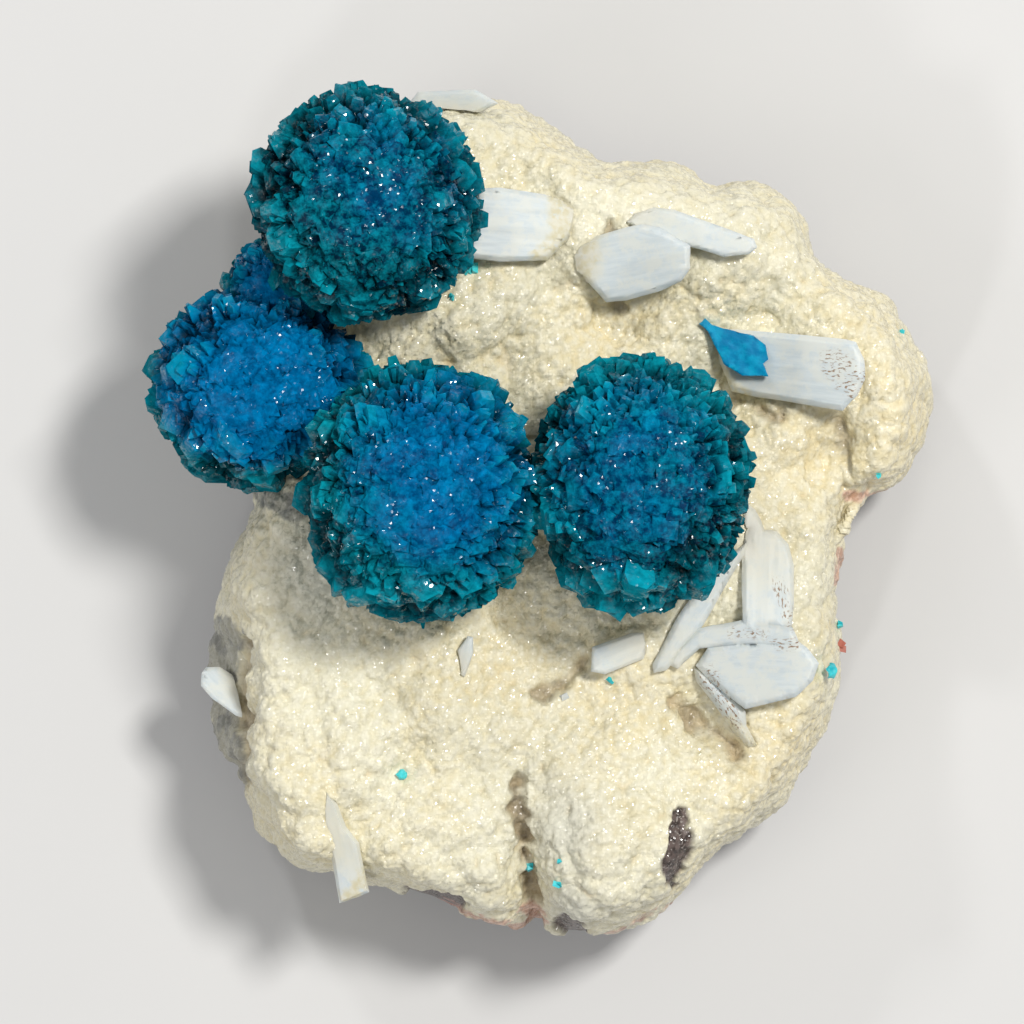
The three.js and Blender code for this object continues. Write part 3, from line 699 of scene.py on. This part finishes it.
def stone_skin():
    """The stone's surface: points, normals, squares, how far it is crusted, and what its material reads."""
    mesh = remeshed_stone()
    points, normals = places_of(mesh), normals_of(mesh)
    height = points[:, 2]
    crusted = smoothstep(-0.5, 0.5, height - CRUST_FOOT - sum_of_waves(points, CRUST_FOOT_WAVES))
    blades = tree_of(BLADES)
    near_blades = np.full(len(points), NEAR_BLADE)
    upper = height > BLADES_ABOVE
    near_blades[upper] = distances(blades, points[upper], NEAR_BLADE)

    bare = strips(points, BASALT, salt=51)
    shade, depth = furrows(points)
    fracture = sum(high * np.abs(waves(points, spacing, salt)) for high, spacing, salt in FRACTURE)
    fracture += sum_of_waves(points, FRACTURE_GRAIN) - FRACTURE_DEPTH
    grainy = sum_of_lumps(points, SMALL_LUMPS)
    calm = smoothstep(*BLADE_CALM, near_blades) * (1 - 0.7 * strips(points, SMOOTH, salt=55))
    crusty = (sum_of_lumps(points, LARGE_LUMPS) * calm + grainy) * (1 - bare) - BARE_DEPTH * bare - depth
    near, far, swell = BLADE_SWELL
    swollen = swell * (1 - smoothstep(near, far, near_blades))
    rise = crusted * (crusty + swollen) + (1 - crusted) * fracture
    points = points + rise[:, None] * normals
    points[:, 2] = np.maximum(points[:, 2], 0)
    sink_under(blades, points, near_blades)
    set_places(mesh, points)
    # Painted shade: the crust is tan in its hollows, both the deeper ones and the small valleys between the
    # grains.
    recess_shade = 0.75 * smoothstep(0.0, 0.8, -crusty) + 0.5 * smoothstep(0.0, 0.2, -grainy)
    frost = smoothstep(0.1, -0.3, waves(points, 0.8, salt=58))
    looks = {
        "rock": np.maximum(1 - crusted, bare),
        "red": 0.7 * strips(points, RED, salt=61),
        # painted shade in the clefts and pits
        "dark": shade * np.clip(0.8 + 0.5 * waves(points, 1.1, salt=47), 0.3, 0.95),
        "recess_shade": crusted * np.clip(recess_shade, 0, 1),
        "warm": 0.75 * spots(points, WARM),
        # grey crust, and a painted shadow below and left of the centre ball
        "grey_and_shadow": 0.8 * spots(points, GREY_AND_SHADOW),
        # grey stone, and painted shade on the low left ledge, frosted with white
        "ledge_and_shade": strips(points, LEDGE_AND_SHADE, salt=57) * (0.75 + 0.25 * frost),
        # painted highlight on the tops of the small lumps
        "tint": 0.7 * smoothstep(-0.05, 0.2, grainy),
    }
    return points, normals_of(mesh), quads_of(mesh), crusted, looks


def tile(name, squares):
    """A part of the stone's skin as a closed piece: its cut edge goes down into the stone and is closed."""
    used, corners = np.unique(squares, return_inverse=True)
    corners = corners.reshape(-1, 4)
    ways = np.concatenate([corners[:, [k, (k + 1) % 4]] for k in range(4)])
    codes, backward = ways @ (len(used), 1), ways @ (1, len(used))
    edge = ways[~np.isin(backward, codes)]
    rim, place = np.unique(edge, return_inverse=True)
    below = len(used) + place.reshape(-1, 2)
    sunk = skin[used][rim]
    sunk[:, :2] = TILE_CUT + TILE_DRAW * (sunk[:, :2] - TILE_CUT)
    sunk[:, 2] = TILE_DEPTH
    made = np.vstack([skin[used], sunk, (*TILE_CUT, TILE_DEPTH)])
    wall = np.column_stack([edge[:, ::-1], below])
    lid = np.column_stack([below[:, ::-1], np.full(len(edge), len(made) - 1)])
    sizes = np.repeat((4, 4, 3), (len(corners), len(wall), len(lid)))
    mesh = mesh_of(name, made, sizes, np.concatenate([corners.ravel(), wall.ravel(), lid.ravel()]))
    hidden = len(made) - len(used)
    paint(mesh, **{key: np.append(values[used], np.zeros(hidden)) for key, values in stone_looks.items()})
    paint_lie(mesh, 1.5 * np.vstack([skin_normals[used], np.tile((0, 0, 1), (hidden, 1))]))
    piece(name, mesh, crust, ["matrix"])


skin, skin_normals, quads, crusted, stone_looks = stone_skin()
crust = crust_material()
middles = skin[quads].mean(axis=1)
right, far = middles[:, 0] > TILE_CUT[0], middles[:, 1] > TILE_CUT[1]
tile("matrix_crust_near_left", quads[~right & ~far])
tile("matrix_crust_near_right", quads[right & ~far])
tile("matrix_crust_far_left", quads[~right & far])
tile("matrix_crust_far_right", quads[right & far])


# ---- the balls ----
# A block of cavansite: four-sided, narrower at its foot, bevelled round its end.
CORNERS = np.array([[-1, -1], [1, -1], [1, 1], [-1, 1]])
BLOCK_RINGS = ((0.6, 0.0), (1.0, 0.87), (0.66, 1.0))  # half width, height
BLOCK_POINTS = np.concatenate(
    [np.column_stack([wide * CORNERS, np.full(4, height)]) for wide, height in BLOCK_RINGS]
)
BLOCK_FACES = [(3, 2, 1, 0), (8, 9, 10, 11)] + ring_between(0, 4, 4) + ring_between(4, 8, 4)


def spread_directions(count):
    """Directions spread evenly over a sphere."""
    k = np.arange(count) + 0.5
    height = 1 - 2 * k / count
    turn = np.pi * (1 + 5**0.5) * k
    flat = np.sqrt(1 - height**2)
    return np.stack([flat * np.cos(turn), flat * np.sin(turn), height], axis=1)


def core_of(centre, radii):
    """The lumpy body in which the blocks stand: its points and triangles."""
    shape = bmesh.new()
    bmesh.ops.create_icosphere(shape, subdivisions=5, radius=1)
    ways = np.array([v.co for v in shape.verts])
    faces = np.array([[v.index for v in face.verts] for face in shape.faces])
    shape.free()
    spacing, salt, lump_middle, lump_height = CORE_LUMPS
    low, high, top_rise = CORE_TOP
    reach = CORE_SHARE + lump_height * (lumps(centre + radii * ways, spacing, salt) - lump_middle)
    reach = reach + top_rise * smoothstep(low, high, ways[:, 2])
    return centre + radii * ways * reach[:, None], faces


def group_blocks(centre, radii, level, seed, count, rng):
    """One level of a ball's blocks, in groups with stepped ends. Each row is a block: where it ends, its
    axis, a direction across it, its two half widths and length, its tint, and how much relief is there."""
    number, members, thick, share, lowest = level
    thick = thick * np.sqrt(4 * np.pi / count) * radii.mean()
    ways = spread_directions(int(number * count))
    ways = ways[ways[:, 2] > lowest]
    ways = unit(ways + BLOCK_STRAY / np.sqrt(number) * rng.uniform(-1, 1, ways.shape))
    total = len(ways)
    relief = CALM_RELIEF + (1 - CALM_RELIEF) * smoothstep(*CALM_TOP, ways[:, 2])
    fine, large_more, small_more = COARSER
    more = large_more if number == 1 else small_more
    coarse = fine + more * smoothstep(0.0, 0.8, ways @ unit(np.array(COARSE_SIDE)))
    main = square_to(rng.normal(size=ways.shape), ways)
    third = np.cross(ways, main)
    spacing, bulge_middle, bulge_height = BULGES
    bulge = bulge_height * (lumps(centre + radii * ways, spacing, seed) - bulge_middle)
    ends = share * (1.0 + relief * (rng.uniform(*BLOCK_STEPS, total) + bulge))
    rows = []
    for member in range(members):
        beside = member > 0
        half = thick * coarse * rng.uniform(*BLOCK_WIDTH, total) * (BLOCK_SHIFT if beside else 1)
        shift = rng.uniform(-BLOCK_SHIFT, BLOCK_SHIFT, (total, 2)) * thick * beside
        lean = unit(ways + BLOCK_LEAN * rng.normal(size=ways.shape) * beside)
        drop = beside * relief * rng.uniform(*BLOCK_DROP, total)
        tips = centre + radii * lean * (ends - drop)[:, None]
        tips = tips + shift[:, :1] * main + shift[:, 1:] * third
        flat = half * rng.uniform(*BLOCK_FLATNESS, total)
        length = np.full(total, BLOCK_LENGTH * radii.mean())
        tint = rng.uniform(0, 1, total)
        rows.append(np.column_stack([tips, lean, square_to(main, lean), half, flat, length, tint, relief]))
    return np.concatenate(rows)


def clear_of_others(tips, others):
    """Which blocks end above the ball's foot, outside the other balls and not deep in the stone."""
    keep = tips[:, 2] > BALL_FOOT
    for centre, radii in others:
        keep &= np.linalg.norm((tips - np.array(centre)) / np.array(radii), axis=1) > CLEAR_OF_BALL
    for k in np.flatnonzero(keep):
        near, normal, _, _ = stone_tree.find_nearest(Vector(tips[k]), SEARCH_STONE)
        keep[k] = near is None or (Vector(tips[k]) - near).dot(normal) > -INTO_STONE
    return keep


def shaped_blocks(rows, length, rng):
    """Blocks with chisel ends, each a little irregular: points, face sizes and face corners."""
    tips, axis, across, sizes, _, relief = np.split(rows, [3, 6, 9, 12, 13], axis=1)
    total, rings, sides = len(rows), len(BLOCK_RINGS), len(CORNERS)
    base = tips - axis * sizes[:, 2:]
    made, face_sizes, corners = crystals(BLOCK_POINTS, BLOCK_FACES, base, axis, across, sizes)
    made = made.reshape(total, rings, sides, 3)
    middle = made.mean(axis=2, keepdims=True)
    third = np.cross(axis, across)
    blunt = rng.uniform(0, 1, (total, 1)) ** 2
    # The end is pinched to a chisel, the corners are moved in and out, and the bevel is lowered.
    beside = ((made - middle) * third[:, None, None]).sum(axis=-1, keepdims=True)
    pinch = CHISEL_PINCH * (1 - blunt)[:, :, None, None] * np.array([0, 0, 1])[:, None, None]
    made = made - pinch * beside * third[:, None, None]
    made = middle + (made - middle) * rng.uniform(*BLOCK_JITTER, (total, 1, sides, 1))
    slope, more = CHISEL_SLOPE
    down = slope * length * (relief * (1 + more * (1 - blunt)) - 1) * np.array([0, 1, 0])
    made = made - down[:, :, None, None] * axis[:, None, None]
    # The bevel and the end are slanted together.
    slant = rng.uniform(-BLOCK_SLANT, BLOCK_SLANT, (total, 1, 1, 2)) * relief[:, None, None]
    local = [((made - middle) * way[:, None, None]).sum(axis=-1) for way in (across, third)]
    rise = (np.stack(local, axis=-1) * slant).sum(axis=-1) * np.array([0, 1, 1])[None, :, None]
    made = made + rise[..., None] * axis[:, None, None]
    return made.reshape(-1, 3), face_sizes, corners


def ball(centre, radii, pole, reach, lightness, seed, count, others):
    """Blocks that radiate from the middle of a ball, on its core. Returns points, face sizes and corners,
    what the material reads, and the direction that softens the normals."""
    rng = np.random.default_rng(seed)
    centre, radii = np.array(centre), np.array(radii)
    levels = [group_blocks(centre, radii, level, seed, count, rng) for level in BLOCK_LEVELS]
    rows = np.concatenate(levels)
    rows = rows[clear_of_others(rows[:, :3], others)]
    made, face_sizes, corners = shaped_blocks(rows, BLOCK_LENGTH * radii.mean(), rng)
    core, core_faces = core_of(centre, radii)
    per = len(BLOCK_POINTS)
    tint = np.concatenate([np.repeat(rows[:, -2], per), np.full(len(core), 0.4)])
    calm = np.concatenate([np.repeat(1 - rows[:, -1], per), np.ones(len(core))])
    corners = np.concatenate([corners, (core_faces + len(made)).ravel()])
    face_sizes = np.concatenate([face_sizes, np.full(len(core_faces), 3)])
    made = np.concatenate([made, core])
    out = (made - centre) / radii
    distance = np.linalg.norm(out, axis=1)
    way = unit(out)
    looks = {
        # the side towards +y is lighter as painted light; the rest is each block's and each ball's own tone
        "tint": 0.4 * tint + lightness + 0.25 * smoothstep(0.2, 0.9, way[:, 1]),
        # read by the painted shade in the gaps: lower means darker, and the calm top is lighter
        "depth": distance + 0.05 * calm,
        # painted highlight at the ends of the blocks
        "tip_highlight": 0.45 * smoothstep(0.97, 1.06, distance) * (1 - calm),
        "pole": reach * smoothstep(-0.1, 0.95, way @ unit(np.array(pole))),
        # painted shade on the underside
        "low": smoothstep(0.7, -0.1, way[:, 2]),
        "gloss": 1 - 0.6 * calm - 0.4 * smoothstep(0.5, -0.1, way[:, 2]),
    }
    return made, face_sizes, corners, looks, 2.5 * calm[:, None] * unit(out / radii)


def joined(first, second):
    """Two balls as one."""
    made, face_sizes, corners, looks, lie = second
    return (
        np.concatenate([first[0], made]),
        np.concatenate([first[1], face_sizes]),
        np.concatenate([first[2], corners + len(first[0])]),
        {key: np.concatenate([first[3][key], values]) for key, values in looks.items()},
        np.concatenate([first[4], lie]),
    )


cavansite = cavansite_material()
stone_tree = tree_of(["matrix"])
for name, look in BALLS.items():
    others = [BALLS[other][:2] for other in BALLS if other != name]
    made = ball(*look, BALL_GROUPS, others)
    if name == "cavansite_left":
        made = joined(made, ball(*FAN, FAN_GROUPS, [BALLS["cavansite_upper"][:2]]))
    points, face_sizes, corners, looks, lie = made
    mesh = mesh_of(name, points, face_sizes, corners)
    paint(mesh, **looks)
    paint_lie(mesh, lie)
    piece(name + "_crystals", mesh, cavansite, [name])


# ---- the stilbites, the flake and the specks ----
def sliced(node, way, steps):
    """A node's mesh cut into small faces by planes: along a way in plan, across it and level."""
    shape = welded(node)
    bmesh.ops.dissolve_limit(shape, angle_limit=0.01, verts=shape.verts, edges=shape.edges)
    normals = (Vector((way[0], way[1], 0)), Vector((-way[1], way[0], 0)), Vector((0, 0, 1)))
    for normal, step in zip(normals, steps):
        heights = [v.co.dot(normal) / MM for v in shape.verts]
        for place in np.arange(min(heights) + step / 2, max(heights), step):
            everything = shape.verts[:] + shape.edges[:] + shape.faces[:]
            plane = {"plane_co": normal * float(place) * MM, "plane_no": normal}
            bmesh.ops.bisect_plane(shape, geom=everything, dist=WELD * MM, **plane)
    bmesh.ops.triangulate(shape, faces=shape.faces)
    mesh = bpy.data.meshes.new(node)
    shape.to_mesh(mesh)
    shape.free()
    mesh.shade_smooth()
    mesh.set_sharp_from_angle(angle=np.radians(CREASE_ANGLE))
    return mesh


def roughened(mesh, rise):
    """The mesh with each point moved out by its rise."""
    set_places(mesh, places_of(mesh) + rise[:, None] * normals_of(mesh))
    return mesh


def grooved_blade(node, axes):
    """A finely grooved copy of a node of one or more blades, which lie along their axes."""
    first = np.array(axes[0])
    mesh = sliced(node, unit(first[1] - first[0]), BLADE_STEPS)
    places = places_of(mesh)
    away = np.stack([to_segment(places, *ends) for ends in axes], axis=1)
    nearest = away.argmin(axis=1)
    ends = np.array(axes)[nearest]
    way = unit(ends[:, 1] - ends[:, 0])
    from_start = places[:, :2] - ends[:, 0]
    along = (from_start * way).sum(axis=1)
    across = from_start[:, 0] * -way[:, 1] + from_start[:, 1] * way[:, 0]
    stretched = np.stack([along, across, places[:, 2]], axis=1) * GROOVE_STRETCH
    stretched[:, 2] += GROOVE_APART * nearest
    roughened(mesh, sum_of_waves(stretched, GROOVES))
    paint(mesh, along=along, across=across)
    paint(mesh, specks=strips(places, SPECKS, salt=75), veil=strips(places, VEILS, salt=77))
    paint(mesh, foot=smoothstep(*FOOT_FADE, distances(crust_tree, places, FOOT_SEARCH)))
    return mesh


def rough_speck(node, step, levels):
    mesh = sliced(node, (1, 0), (step, step, step))
    return roughened(mesh, sum_of_waves(places_of(mesh), levels))


milky = stilbite_material()
upward = skin_normals[quads].mean(axis=1)[:, 2] > 0
crust_tree = BVHTree.FromPolygons(skin.tolist(), quads[upward].tolist())
for node, axes in BLADES.items():
    piece(node + "_crystal", grooved_blade(node, axes), milky, [node])

flake_blue = turquoise_material("flake", (0.000, 0.23, 0.48), (0.002, 0.38, 0.64))
turquoise = turquoise_material("turquoise", (0.010, 0.42, 0.50), (0.06, 0.62, 0.66))
for node, step, levels, material in (
    ("cavansite_flake", FLAKE_STEP, FLAKE_WAVES, flake_blue),
    ("cavansite_speck_right", SPECK_STEP, SPECK_WAVES, turquoise),
    ("cavansite_speck_lower", SPECK_STEP, SPECK_WAVES, turquoise),
):
    piece(node + "_crystal", rough_speck(node, step, levels), material, [node])

# ---- grains too small for the solids ----
# A grain is a short block with a wedge-shaped end.
GRAIN_POINTS = np.array(
    [[-1, -1, -0.6], [1, -1, -0.6], [1, 1, -0.6], [-1, 1, -0.6], [-0.75, 0, 1.0], [0.75, 0.1, 0.9]]
)
GRAIN_FACES = ((3, 2, 1, 0), (0, 1, 5, 4), (2, 3, 4, 5), (3, 0, 4), (1, 2, 5))


def surface_at(x, y):
    """The highest point of the crust near a place seen from above, and its normal."""
    away = np.where(crusted > 0.5, np.hypot(skin[:, 0] - x, skin[:, 1] - y), np.inf)
    near = np.flatnonzero(away < away.min() + 0.2)
    found = near[skin[near, 2].argmax()]
    return skin[found], skin_normals[found]


def grains(name, clusters, material):
    """Small crystals, one to three at each given place on the crust."""
    rows = []
    for x, y, reach, number in clusters:
        place, normal = surface_at(x, y)
        for _ in range(number):
            shift = reach * 0.5 * rng.uniform(-1, 1, 3) * (1, 1, 0) * (number > 1)
            base = place + shift + 0.3 * reach * normal
            rows.append(np.concatenate([base, unit(normal + 0.5 * rng.normal(size=3)), [reach]]))
    rows = np.array(rows)
    base, axis, reach = rows[:, :3], rows[:, 3:6], rows[:, 6:]
    sizes = reach * rng.uniform((0.7, 0.5, 0.6), (1.0, 0.7, 0.9), (len(rows), 3))
    across = square_to(rng.normal(size=axis.shape), axis)
    mesh = mesh_of(name, *crystals(GRAIN_POINTS, GRAIN_FACES, base, axis, across, sizes))
    piece(name, mesh, material)


rng = np.random.default_rng(GRAIN_SEED)
grains("cavansite_grains", CAVANSITE_GRAINS, turquoise)
grains("stilbite_grains", STILBITE_GRAINS, milky)
grains("red_grain", RED_GRAINS, red_material())


# ---- floor, light and camera ----
def floor():
    mesh = bpy.data.meshes.new("floor")
    corners = FLOOR_HALF * MM * np.column_stack([CORNERS, np.zeros(4)])
    mesh.from_pydata(corners.tolist(), [], [(0, 1, 2, 3)])
    n = Nodes("floor")
    n.set(Base_Color=n.mix(n.noise(0.05, 2), (0.60, 0.60, 0.60), (0.62, 0.62, 0.62)), Roughness=0.8)
    mesh.materials.append(n.material)
    made = link("floor", mesh)
    made.location.z = -FLOOR_DROP * MM


def lamp(name, direction, distance, size, power, colour):
    data = bpy.data.lights.new(name, "AREA")
    data.energy, data.size, data.color = power, size, colour
    made = link(name, data)
    way = Vector(direction).normalized()
    made.location = way * distance
    made.rotation_euler = way.to_track_quat("Z", "Y").to_euler()


def room():
    world = bpy.data.worlds.new("studio")
    world.use_nodes = True
    background = world.node_tree.nodes["Background"]
    background.inputs[0].default_value = (1, 1, 1, 1)
    background.inputs[1].default_value = ROOM_LIGHT
    bpy.context.scene.world = world


def look_down():
    camera = bpy.data.cameras.new("camera")
    camera.sensor_width = SENSOR
    camera.lens = SENSOR * (CAMERA_PLACE[2] - SEEN_HEIGHT) / SEEN_WIDTH
    camera.clip_end = 10
    seen = link("camera", camera)
    seen.location = Vector(CAMERA_PLACE) * MM
    bpy.context.scene.camera = seen


floor()
for settings in LAMPS:
    lamp(*settings)
room()
look_down()
bpy.context.scene.view_settings.view_transform = "Standard"
